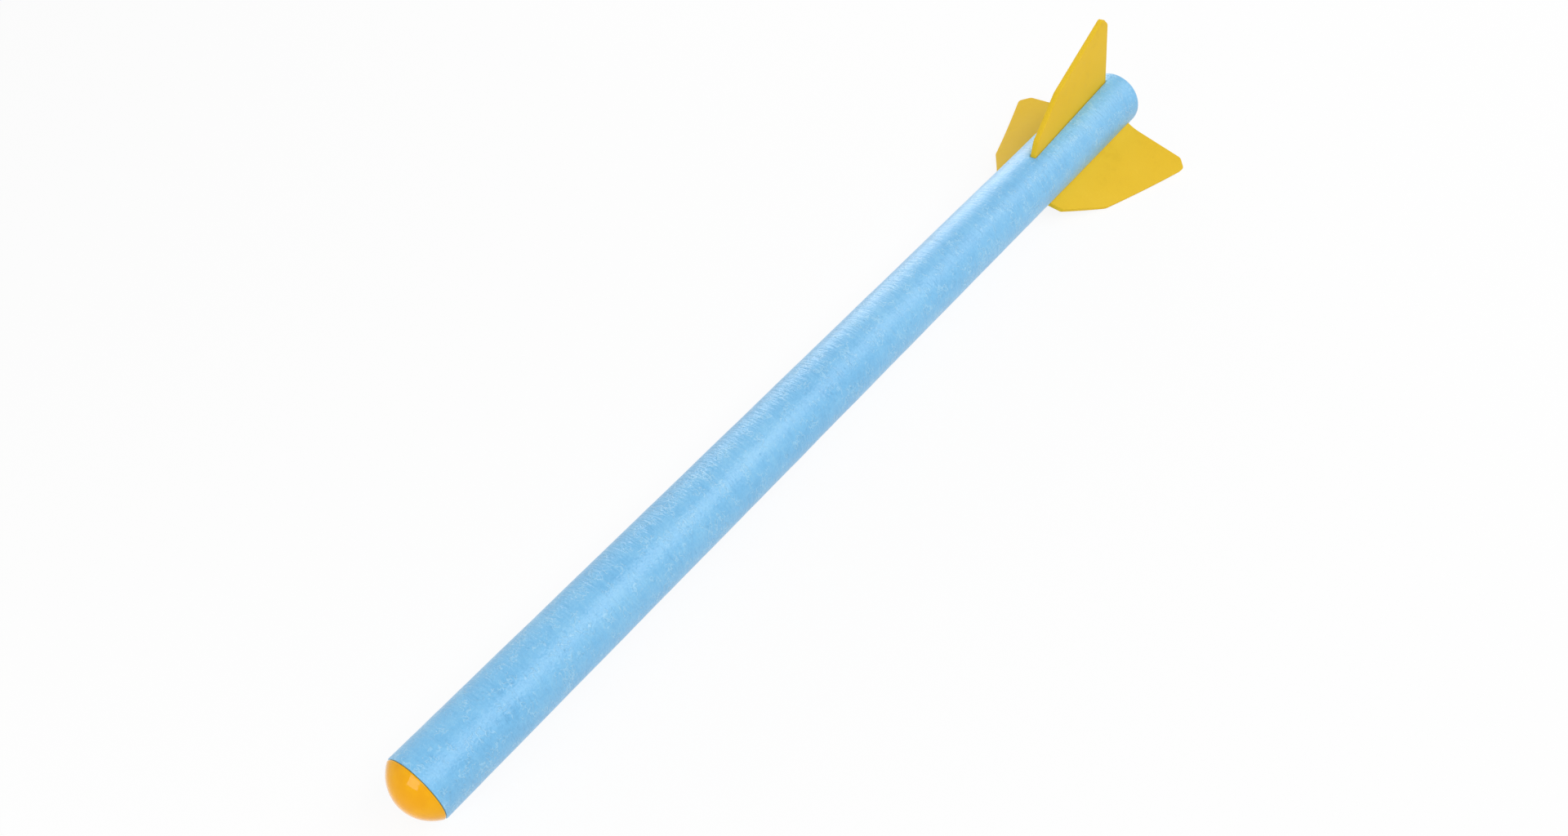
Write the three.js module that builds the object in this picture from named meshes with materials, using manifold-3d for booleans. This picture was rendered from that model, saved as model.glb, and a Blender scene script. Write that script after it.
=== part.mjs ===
// Foam javelin for school athletics: a soft foam shaft on a stiffening tube, a moulded nose cap
// with a ballast slug in its spigot, and three sheet foam fins glued into slots near the tail.
//
// Millimetres, +Z up. The javelin lies above a floor at z = 0: the shaft along X with the nose
// towards -X, one fin standing up, and the soft lower two folded up where they meet the floor.
// The origin is on the floor under the shaft's axis, halfway along the javelin.
import * as THREE from 'three';
import { mergeVertices } from 'three/addons/utils/BufferGeometryUtils.js';
import Module from 'manifold-3d';

const wasm = await Module();
wasm.setup();

// Driving dimensions of the whole javelin and its foam shaft.
const overallLength = 900;
const shaftRadius = 26.5;
const boreRadius = 8.3;
const noseEdgeRadius = 1.2;
const tailEdgeRadius = 5;

// Nose cap: a hollow dome with a barbed spigot that plugs into the foam.
const capHeight = 15;
const capRadius = 25.8;
const capRimWidth = 0.8;
const capWall = 2.4;
const spigotRadius = 12;
const spigotLength = 38;
const spigotLeadIn = 2;
const barbHeight = 0.9;
const barbLength = 5;
const barbPitch = 9;
const barbStart = 7;
const barbCount = 3;
const ribThickness = 1.6;
const ribSetback = 1;
const ribCount = 6;

// Ballast slug inside the spigot.
const weightRadius = 6;
const weightLength = 36;
const weightChamfer = 0.8;

// Stiffening tube and the bung that closes it at the tail.
const coreRadius = 8;
const coreBoreRadius = 5.5;
const plugHeadLength = 14;
const plugStemLength = 22;
const plugChamfer = 1;

// Fins: one outline for all three, with a tab that is buried in the foam.
const finRootChord = 134;
const finTailOffset = 16.6;
const finThickness = 5;
const finEdgeSoftening = 0.4;
const finTabDepth = 16;
const finHeight = 66.4;
const finTipAhead = 6.9;
const finTipBack = 1.4;
const finTipDrop = 9;
const finBellyAhead = 91;
const finBellyHeight = 39.2;
const finChinBack = 5.5;
const finChinHeight = 12.3;
const finChinRadius = 4;
const finBellyRadius = 14.3;
const finTipRadius = 4.5;

// Fin attitudes: the even spacing, a cant that spins the javelin, the top fin's lean.
const finSpacingDegrees = 120;
const finCantDegrees = 2.8;
const topFinLeanDegrees = 7.6;

// Fold of the two lower fins under the javelin's weight: how far each tip moves sideways from its
// flat sheet, how much more a fin folds at its tail than at mid chord, and how far the fold reaches.
const leftFinRise = 16.8;
const rightFinRise = 19.5;
const finTwistShare = 1;
const foldReach = 12;

// Clearance between neighbours, and the overrun of a cut past the face that it goes through.
const fitGap = 0.3;
const cutOverrun = 4;

// Facets round the shaft, the cap and small turned pieces, along an arc of an outline and up the
// dome, and the longest edge of a facet on a folded fin.
const shaftFacets = 64;
const capFacets = 48;
const smallFacets = 40;
const arcSteps = 6;
const domeSteps = 10;
const finFacetEdge = 6;

const degrees = Math.PI / 180;
const noseTipX = -overallLength / 2;
const capBackX = noseTipX + capHeight;
const foamFrontX = capBackX + fitGap;
const tailX = overallLength / 2;
const spigotEndX = capBackX + spigotLength;
const coreFrontX = spigotEndX + fitGap;
const plugSeatX = tailX - plugHeadLength;
const coreTailX = plugSeatX - fitGap;
const finHalfChord = finRootChord / 2;
const finMidX = tailX - finTailOffset - finHalfChord;

// Turns a profile of (along, radius) points about the X axis into a closed solid's geometry.
// The profile runs so that its outer side goes towards +X.
function turned(profile, facets) {
  const points = profile.map(([along, radius]) => new THREE.Vector2(radius, along));
  const geometry = new THREE.LatheGeometry(points, facets);
  geometry.rotateZ(-Math.PI / 2);
  return geometry;
}

// Points on an arc in the (along, radius) plane, from one angle to another.
function arc(centreAlong, centreRadius, radius, fromAngle, toAngle, steps) {
  return Array.from({ length: steps + 1 }, (_, i) => {
    const angle = fromAngle + ((toAngle - fromAngle) * i) / steps;
    return [centreAlong + radius * Math.cos(angle), centreRadius + radius * Math.sin(angle)];
  });
}

function toSolid(geometry) {
  const bare = geometry.clone();
  bare.deleteAttribute('normal');
  bare.deleteAttribute('uv');
  const merged = mergeVertices(bare);
  const vertProperties = new Float32Array(merged.attributes.position.array);
  const triVerts = new Uint32Array(merged.index.array);
  return new wasm.Manifold(new wasm.Mesh({ numProp: 3, vertProperties, triVerts }));
}

function toGeometry(solid) {
  const mesh = solid.getMesh();
  const geometry = new THREE.BufferGeometry();
  geometry.setAttribute('position', new THREE.BufferAttribute(mesh.vertProperties, 3));
  geometry.setIndex(new THREE.BufferAttribute(mesh.triVerts, 1));
  geometry.computeVertexNormals();
  return geometry;
}

// A closed outline through corner points, each corner rounded by its own radius.
function roundedShape(corners) {
  const shape = new THREE.Shape();
  corners.forEach(({ at, radius }, i) => {
    const before = corners[(i + corners.length - 1) % corners.length].at;
    const after = corners[(i + 1) % corners.length].at;
    const inward = before.clone().sub(at).normalize();
    const onward = after.clone().sub(at).normalize();
    const halfAngle = Math.acos(THREE.MathUtils.clamp(inward.dot(onward), -1, 1)) / 2;
    const reach = radius / Math.tan(halfAngle);
    const start = at.clone().addScaledVector(inward, reach);
    const end = at.clone().addScaledVector(onward, reach);
    if (i === 0) shape.moveTo(start.x, start.y);
    else shape.lineTo(start.x, start.y);
    if (radius > 0) shape.quadraticCurveTo(at.x, at.y, end.x, end.y);
  });
  shape.closePath();
  return shape;
}

// How each fin stands: its roll about the shaft's axis, in radians from straight up towards -Y, and
// the sideways rise of its tip, towards the side that the roll goes to.
const finStances = {
  fin_top: { roll: -topFinLeanDegrees * degrees, rise: 0 },
  fin_left: { roll: finSpacingDegrees * degrees, rise: leftFinRise },
  fin_right: { roll: -finSpacingDegrees * degrees, rise: -rightFinRise },
};

// Stands an object in a fin's place: on the shaft's axis at mid chord, rolled and canted.
function seatAsFin(object, roll) {
  object.position.set(finMidX, 0, 0);
  object.rotation.set(roll, 0, finCantDegrees * degrees);
  object.updateMatrix();
  return object;
}

// Folds the sheet beyond the shaft. Its slope grows evenly over the fold and is steeper at the tail.
// A sheet keeps its length, so a slope draws it in by half of the slope squared.
function foldSheet(sheet, rise) {
  const tipSlope = rise / (finHeight - foldReach / 2);
  const twist = (along) => 1 + (finTwistShare * along) / finHalfChord;
  return sheet.refineToLength(finFacetEdge).warp((point) => {
    const [along, , out] = point;
    const height = Math.max(out - shaftRadius, 0);
    const inFold = Math.min(height, foldReach);
    const slope = (tipSlope * twist(along)) / twist(finHalfChord - finTipAhead);
    point[1] += slope * (inFold ** 2 / (2 * foldReach) + height - inFold);
    point[2] -= (slope ** 2 / 2) * (inFold ** 3 / (3 * foldReach ** 2) + height - inFold);
  });
}

// The fin stands in the XZ plane: x along the shaft from mid chord, z out from the shaft's axis.
function finGeometry(rise) {
  const corner = (along, height, radius) => ({
    at: new THREE.Vector2(along, shaftRadius + height),
    radius,
  });
  const shape = roundedShape([
    corner(-finHalfChord, -finTabDepth, 0),
    corner(finHalfChord, -finTabDepth, 0),
    corner(finHalfChord, 0, 0),
    corner(finHalfChord + finTipBack, finHeight - finTipDrop, finTipRadius),
    corner(finHalfChord - finTipAhead, finHeight, finTipRadius),
    corner(finHalfChord - finBellyAhead, finBellyHeight, finBellyRadius),
    corner(finChinBack - finHalfChord, finChinHeight, finChinRadius),
    corner(-finHalfChord, 0, 0),
  ]);
  const plate = new THREE.ExtrudeGeometry(shape, {
    depth: finThickness - 2 * finEdgeSoftening,
    bevelThickness: finEdgeSoftening,
    bevelSize: finEdgeSoftening,
    bevelOffset: -finEdgeSoftening,
    bevelSegments: 2,
    curveSegments: arcSteps,
  });
  plate.translate(0, 0, finEdgeSoftening - finThickness / 2);
  plate.rotateX(Math.PI / 2);
  if (rise === 0) return plate;
  return toGeometry(foldSheet(toSolid(plate), rise));
}

// The slot that takes a fin's tab, open at the shaft's surface.
function finSlot(roll) {
  const height = finTabDepth + fitGap + cutOverrun;
  const slot = new THREE.BoxGeometry(finRootChord + 2 * fitGap, finThickness + 2 * fitGap, height);
  slot.translate(0, 0, shaftRadius + cutOverrun - height / 2);
  slot.applyMatrix4(seatAsFin(new THREE.Object3D(), roll).matrix);
  return toSolid(slot);
}

// Foam shaft: a tube, counterbored for the spigot, rounded at the tail and slotted for the fins.
function foamShaftGeometry() {
  const socketRadius = spigotRadius + barbHeight + fitGap;
  const socketEndX = coreFrontX;
  const tube = turned(
    [
      [foamFrontX, socketRadius],
      ...arc(
        foamFrontX + noseEdgeRadius, shaftRadius - noseEdgeRadius, noseEdgeRadius,
        Math.PI, Math.PI / 2, arcSteps,
      ),
      ...arc(
        tailX - tailEdgeRadius, shaftRadius - tailEdgeRadius, tailEdgeRadius,
        Math.PI / 2, 0, arcSteps,
      ),
      [tailX, boreRadius],
      [socketEndX, boreRadius],
      [socketEndX, socketRadius],
      [foamFrontX, socketRadius],
    ],
    shaftFacets,
  );
  const shaft = Object.values(finStances).reduce(
    (solid, { roll }) => solid.subtract(finSlot(roll)),
    toSolid(tube),
  );
  return toGeometry(shaft);
}

// Outer surface of the dome, as a sphere through the tip and the rim.
const domeHeight = capHeight - capRimWidth;
const domeRadius = (capRadius ** 2 + domeHeight ** 2) / (2 * domeHeight);
const domeCentreX = noseTipX + domeRadius;

// A sphere's stretch of profile from where it meets one radius to where it meets another.
function domeProfile(sphereRadius, fromRadius, toRadius) {
  const angleAt = (radius) => Math.PI - Math.asin(radius / sphereRadius);
  return arc(domeCentreX, 0, sphereRadius, angleAt(fromRadius), angleAt(toRadius), domeSteps);
}

function barb(index) {
  const front = capBackX + barbStart + index * barbPitch;
  return [
    [front, spigotRadius],
    [front, spigotRadius + barbHeight],
    [front + barbLength, spigotRadius],
  ];
}

// Nose cap: dome shell, spigot with barbs and a blind bore, and ribs between shell and spigot.
function noseCapGeometry() {
  const innerSphere = domeRadius - capWall;
  const innerRimRadius = capRadius - capWall;
  const slugBore = weightRadius + fitGap;
  const slugFloorX = spigotEndX - weightLength - fitGap;
  const shell = turned(
    [
      [noseTipX, 0],
      ...domeProfile(domeRadius, 0, capRadius).slice(1),
      [capBackX, capRadius],
      [capBackX, innerRimRadius],
      ...domeProfile(innerSphere, innerRimRadius, spigotRadius),
      ...Array.from({ length: barbCount }, (_, i) => barb(i)).flat(),
      [spigotEndX - spigotLeadIn, spigotRadius],
      [spigotEndX, spigotRadius - spigotLeadIn],
      [spigotEndX, slugBore],
      [slugFloorX, slugBore],
      [slugFloorX, 0],
    ],
    capFacets,
  );
  const ribCoreSphere = domeRadius - capWall / 2;
  const ribOuterRadius = capRadius - capWall / 2;
  const ribBackX = capBackX - ribSetback;
  const ribForm = toSolid(turned(
    [
      [domeCentreX - ribCoreSphere, 0],
      ...domeProfile(ribCoreSphere, 0, ribOuterRadius).slice(1),
      [ribBackX, ribOuterRadius],
      [ribBackX, 0],
    ],
    capFacets,
  ));
  const ribInnerRadius = (spigotRadius + weightRadius) / 2;
  const ribLength = capRadius - ribInnerRadius;
  let cap = toSolid(shell);
  for (let i = 0; i < ribCount; i += 1) {
    const rib = new THREE.BoxGeometry(2 * capHeight, ribThickness, ribLength);
    rib.translate(ribBackX, 0, ribInnerRadius + ribLength / 2);
    rib.rotateX((2 * Math.PI * i) / ribCount);
    cap = cap.add(toSolid(rib).intersect(ribForm));
  }
  return toGeometry(cap);
}

// Ballast slug, a short bar with chamfered ends that fills the spigot's blind bore.
function noseWeightGeometry() {
  const front = spigotEndX - weightLength;
  return turned(
    [
      [front, 0],
      [front, weightRadius - weightChamfer],
      [front + weightChamfer, weightRadius],
      [spigotEndX - weightChamfer, weightRadius],
      [spigotEndX, weightRadius - weightChamfer],
      [spigotEndX, 0],
    ],
    smallFacets,
  );
}

// Stiffening tube, from the spigot to the bung. Its wall keeps the slug in the spigot.
function coreTubeGeometry() {
  return turned(
    [
      [coreFrontX, coreBoreRadius],
      [coreFrontX, coreRadius],
      [coreTailX, coreRadius],
      [coreTailX, coreBoreRadius],
      [coreFrontX, coreBoreRadius],
    ],
    smallFacets,
  );
}

// Bung: a stem in the stiffening tube and a head that lies flush with the foam's end.
function tailPlugGeometry() {
  const stemRadius = coreBoreRadius - fitGap;
  const stemFrontX = plugSeatX - plugStemLength;
  return turned(
    [
      [stemFrontX, 0],
      [stemFrontX, stemRadius - plugChamfer],
      [stemFrontX + plugChamfer, stemRadius],
      [plugSeatX, stemRadius],
      [plugSeatX, coreRadius],
      [tailX, coreRadius],
      [tailX, 0],
    ],
    smallFacets,
  );
}

const finishes = {
  foamBlue: { color: 0x95cbf2, roughness: 0.85, metalness: 0 },
  finYellow: { color: 0xe9c53c, roughness: 0.7, metalness: 0 },
  capOrange: { color: 0xf7ab0a, roughness: 0.18, metalness: 0 },
  tubeGrey: { color: 0xd8dadc, roughness: 0.5, metalness: 0 },
  platedSteel: { color: 0xb9bcc0, roughness: 0.35, metalness: 1 },
};

function part(name, geometry, finish) {
  const mesh = new THREE.Mesh(geometry, new THREE.MeshStandardMaterial(finish));
  mesh.name = name;
  return mesh;
}

const javelin = new THREE.Group();
javelin.add(
  part('foam_shaft', foamShaftGeometry(), finishes.foamBlue),
  part('nose_cap', noseCapGeometry(), finishes.capOrange),
  part('nose_weight', noseWeightGeometry(), finishes.platedSteel),
  part('core_tube', coreTubeGeometry(), finishes.tubeGrey),
  part('tail_plug', tailPlugGeometry(), finishes.foamBlue),
);
for (const [name, { roll, rise }] of Object.entries(finStances)) {
  javelin.add(seatAsFin(part(name, finGeometry(rise), finishes.finYellow), roll));
}

// Whatever reaches lowest, one of the folded fins, stands on the floor.
javelin.position.z = -new THREE.Box3().setFromObject(javelin, true).min.z;

export default javelin;
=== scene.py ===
"""Looks of a soft foam javelin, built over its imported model.

Metres, +Z up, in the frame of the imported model: the javelin lies above the floor at z = 0 with its
shaft along X and its nose towards -X. One fin stands up, and the soft lower two are folded up where
they meet the floor.
"""

import logging
import math
from abc import ABC, abstractmethod
from dataclasses import dataclass, field
from enum import Enum
from typing import Callable, Iterable, Mapping, Sequence

import bmesh
import bpy
from mathutils import Matrix, Vector, noise

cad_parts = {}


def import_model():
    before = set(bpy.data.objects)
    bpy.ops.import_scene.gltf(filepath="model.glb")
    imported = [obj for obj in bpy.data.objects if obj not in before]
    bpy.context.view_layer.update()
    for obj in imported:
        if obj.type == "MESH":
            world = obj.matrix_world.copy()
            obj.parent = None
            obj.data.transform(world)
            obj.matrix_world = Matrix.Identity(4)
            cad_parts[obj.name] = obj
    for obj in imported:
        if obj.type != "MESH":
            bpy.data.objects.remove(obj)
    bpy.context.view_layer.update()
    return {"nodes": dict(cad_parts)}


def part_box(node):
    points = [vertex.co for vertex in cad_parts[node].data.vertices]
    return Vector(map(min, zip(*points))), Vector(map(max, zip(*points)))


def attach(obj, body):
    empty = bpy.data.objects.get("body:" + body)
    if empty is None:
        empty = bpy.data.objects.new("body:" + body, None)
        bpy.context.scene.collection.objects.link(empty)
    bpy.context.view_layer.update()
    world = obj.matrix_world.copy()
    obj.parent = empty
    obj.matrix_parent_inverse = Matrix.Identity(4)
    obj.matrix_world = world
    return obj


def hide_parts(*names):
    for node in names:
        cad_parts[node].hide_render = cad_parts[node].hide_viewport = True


log = logging.getLogger("foam_javelin")

Colour = tuple[float, float, float]
Point = tuple[float, float]
Triple = tuple[float, float, float]
WHITE: Colour = (1.0, 1.0, 1.0)
BODY = "root"


class Slot(Enum):
    """The record's material slots, one named for each kind of new piece."""

    FOAM_BLUE = "foam_blue"
    CAP_ORANGE = "cap_orange"
    FIN_YELLOW = "fin_yellow"


class Stance(Enum):
    """The three fins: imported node, roll about the shaft in degrees, sideways rise of the tip."""

    TOP = ("fin_top", -7.6, 0.0)
    LEFT = ("fin_left", 120.0, 0.0168)
    RIGHT = ("fin_right", -120.0, -0.0195)

    @property
    def node(self) -> str:
        """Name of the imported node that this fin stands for."""
        return self.value[0]

    @property
    def roll(self) -> float:
        """Turn about the shaft's axis, in radians from straight up towards -Y."""
        return math.radians(self.value[1])

    @property
    def rise(self) -> float:
        """How far the tip has moved sideways from the flat sheet."""
        return self.value[2]


def linear(red: int, green: int, blue: int) -> Colour:
    """Turns a screen colour, 0 to 255 a channel, into the linear one that shaders take."""
    shares = (channel / 255 for channel in (red, green, blue))
    return tuple(
        share / 12.92 if share <= 0.04045 else ((share + 0.055) / 1.055) ** 2.4 for share in shares
    )


# Shader graphs


@dataclass(frozen=True)
class Grain:
    """A layer of soft noise.

    The scale is in features a metre, along each axis where they differ. The detail is the octaves
    of finer noise on top, and the roughness how strong those are.
    """

    scale: float | Triple
    detail: float
    rough: float = 0.5


@dataclass(frozen=True)
class Marks:
    """Small marks at the middles of a few cells.

    The scale is in cells a metre, along each axis where they differ. A mark fades from full to gone
    between two distances from its cell's middle, in cells. A cell has a mark where one channel of
    its random colour is above the chance.
    """

    scale: float | Triple
    gone: float
    full: float
    channel: str
    chance: float
    chance_blend: float = 0.04
    offset: Triple = (0.0, 0.0, 0.0)


class Signal:
    """An output of a shader node. Operators on it add the Math nodes that work them out."""

    def __init__(self, graph: "ShaderGraph", socket: bpy.types.NodeSocket) -> None:
        """Keeps the socket and the graph that it belongs to."""
        self.graph = graph
        self.socket = socket

    def __add__(self, other: "Signal | float") -> "Signal":
        """Adds."""
        return self.graph.math("ADD", self, other)

    def __radd__(self, other: float) -> "Signal":
        """Adds, with the number first."""
        return self.graph.math("ADD", other, self)

    def __sub__(self, other: "Signal | float") -> "Signal":
        """Subtracts."""
        return self.graph.math("SUBTRACT", self, other)

    def __rsub__(self, other: float) -> "Signal":
        """Subtracts from a number."""
        return self.graph.math("SUBTRACT", other, self)

    def __mul__(self, other: "Signal | float") -> "Signal":
        """Multiplies."""
        return self.graph.math("MULTIPLY", self, other)

    def __rmul__(self, other: float) -> "Signal":
        """Multiplies, with the number first."""
        return self.graph.math("MULTIPLY", other, self)

    def __pow__(self, other: float) -> "Signal":
        """Raises to a power."""
        return self.graph.math("POWER", self, other)

    def ramp(self, start: float, end: float) -> "Signal":
        """Runs smoothly from 0 at one value to 1 at another.

        Args:
            start: the value that gives 0.
            end: the value that gives 1. It may be the lower of the two.

        Returns:
            The share between them.
        """
        if end < start:
            return 1 - self.ramp(end, start)
        settings = {"interpolation_type": "SMOOTHSTEP"}
        sockets = {"Value": self, "From Min": start, "From Max": end}
        return self.graph.node("ShaderNodeMapRange", settings, sockets)["Result"]


class PlacedNode:
    """A node in a graph, whose outputs are read by name."""

    def __init__(self, graph: "ShaderGraph", node: bpy.types.Node) -> None:
        """Keeps the node and its graph."""
        self.graph = graph
        self.node = node

    def __getitem__(self, name: str) -> Signal:
        """Gives the output of that name or identifier."""
        return Signal(self.graph, ShaderGraph.find(self.node.outputs, name))


class ShaderGraph:
    """The node graph of one material or of the world, and the ways to add to it."""

    def __init__(self, tree: bpy.types.NodeTree) -> None:
        """Empties the tree.

        Args:
            tree: the node tree to fill.
        """
        self.tree = tree
        tree.nodes.clear()

    @staticmethod
    def find(sockets: bpy.types.bpy_prop_collection, name: str | int) -> bpy.types.NodeSocket:
        """Finds a socket.

        Args:
            sockets: a node's inputs or outputs.
            name: a position, an identifier or a shown name.

        Returns:
            The socket.
        """
        if isinstance(name, int):
            return sockets[name]
        by_identifier = [socket for socket in sockets if socket.identifier == name]
        return by_identifier[0] if by_identifier else sockets[name]

    def node(
        self,
        kind: str,
        settings: Mapping[str, object] | None = None,
        sockets: Mapping[str | int, object] | None = None,
    ) -> PlacedNode:
        """Adds a node.

        Args:
            kind: the node's type.
            settings: properties of the node, set first.
            sockets: a number, a colour or a link for each input that is named.

        Returns:
            The node, whose outputs can be read by name.
        """
        node = self.tree.nodes.new(kind)
        for name, value in (settings or {}).items():
            setattr(node, name, value)
        for name, value in (sockets or {}).items():
            socket = self.find(node.inputs, name)
            if isinstance(value, Signal):
                self.tree.links.new(value.socket, socket)
            elif isinstance(value, tuple) and socket.type == "RGBA":
                socket.default_value = (*value, 1.0)
            else:
                socket.default_value = value
        return PlacedNode(self, node)

    def math(self, operation: str, first: Signal | float, second: Signal | float = 0.0) -> Signal:
        """Adds a Math node.

        Args:
            operation: the node's operation.
            first: its first value.
            second: its second value, where the operation takes one.

        Returns:
            The result.
        """
        settings = {"operation": operation}
        return self.node("ShaderNodeMath", settings, {0: first, 1: second})["Value"]

    def blend(
        self, share: Signal | float, first: Signal | Colour, second: Signal | Colour
    ) -> Signal:
        """Mixes two colours.

        Args:
            share: 0 gives the first, 1 the second.
            first: a colour.
            second: another colour.

        Returns:
            The mixed colour.
        """
        sockets = {"Factor_Float": share, "A_Color": first, "B_Color": second}
        return self.node("ShaderNodeMix", {"data_type": "RGBA"}, sockets)["Result_Color"]

    def place(self) -> Signal:
        """Gives the point on the piece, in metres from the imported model's origin."""
        return self.node("ShaderNodeTexCoord")["Object"]

    def spread(
        self, point: Signal, scale: float | Triple, offset: Triple = (0.0, 0.0, 0.0)
    ) -> tuple[Signal, float]:
        """Stretches a point for a texture that isn't the same along every axis.

        Args:
            point: the point on the piece.
            scale: features a metre, along each axis where they differ.
            offset: moves a stretched pattern on the piece.

        Returns:
            The point, stretched where the axes differ, and the scale that is left.
        """
        if not isinstance(scale, tuple):
            return point, scale
        sockets = {"Vector": point, "Scale": Vector(scale), "Location": Vector(offset)}
        return self.node("ShaderNodeMapping", None, sockets)["Vector"], 1.0

    def cloud(self, point: Signal, grain: Grain) -> Signal:
        """Adds soft irregular noise.

        Args:
            point: the point on the piece.
            grain: the noise's scale and octaves.

        Returns:
            A value about 0.5.
        """
        place, scale = self.spread(point, grain.scale)
        sockets = {
            "Vector": place, "Scale": scale, "Detail": grain.detail, "Roughness": grain.rough
        }
        return self.node("ShaderNodeTexNoise", None, sockets)["Fac"]

    def bubbles(self, point: Signal, scale: float, output: str = "Distance") -> Signal:
        """Adds the cells of a foam.

        Args:
            point: the point that they are read at.
            scale: cells for each unit of the point.
            output: the distance from the nearest cell's middle, or its random colour.

        Returns:
            The output asked for.
        """
        sockets = {"Vector": point, "Scale": scale}
        return self.node("ShaderNodeTexVoronoi", {"feature": "F1"}, sockets)[output]

    def marks(self, point: Signal, marks: Marks) -> Signal:
        """Picks out the middles of a few cells.

        Args:
            point: the point on the piece.
            marks: their scale, size and number.

        Returns:
            1 on a mark and 0 beside it.
        """
        place, scale = self.spread(point, marks.scale, marks.offset)
        nearness = self.bubbles(place, scale).ramp(marks.gone, marks.full)
        colour = self.bubbles(place, scale, "Color")
        draw = self.node("ShaderNodeSeparateColor", None, {"Color": colour})[marks.channel]
        return nearness * draw.ramp(marks.chance, marks.chance + marks.chance_blend)

    def relief(self, height: Signal, depth: float) -> Signal:
        """Turns a height into a bumped normal.

        Args:
            height: the surface's height, 0 to 1.
            depth: how many metres 1 stands for.

        Returns:
            The normal.
        """
        sockets = {"Height": height, "Distance": depth, "Strength": 1.0}
        return self.node("ShaderNodeBump", None, sockets)["Normal"]

    def seen_white(self) -> Signal:
        """Picks out the rays that show a thing: straight, through glass or off a shiny face.

        Returns:
            1 for those rays and 0 for the light that falls on things.
        """
        ray = self.node("ShaderNodeLightPath")
        seen = self.math("MAXIMUM", ray["Is Camera Ray"], ray["Is Transmission Ray"])
        return self.math("MAXIMUM", seen, ray["Is Glossy Ray"])


class Finish(ABC):
    """A finish that makes one material."""

    def material(self, name: str) -> bpy.types.Material:
        """Makes the material.

        Args:
            name: the material's name.

        Returns:
            The material, with its surface linked.
        """
        made = bpy.data.materials.new(name)
        made.use_nodes = True
        graph = ShaderGraph(made.node_tree)
        surface = self.surface(graph)
        graph.node("ShaderNodeOutputMaterial", None, {"Surface": surface})
        return made

    @abstractmethod
    def surface(self, graph: ShaderGraph) -> Signal:
        """Builds the shader.

        Args:
            graph: the material's graph.

        Returns:
            The shader's output.
        """


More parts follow.
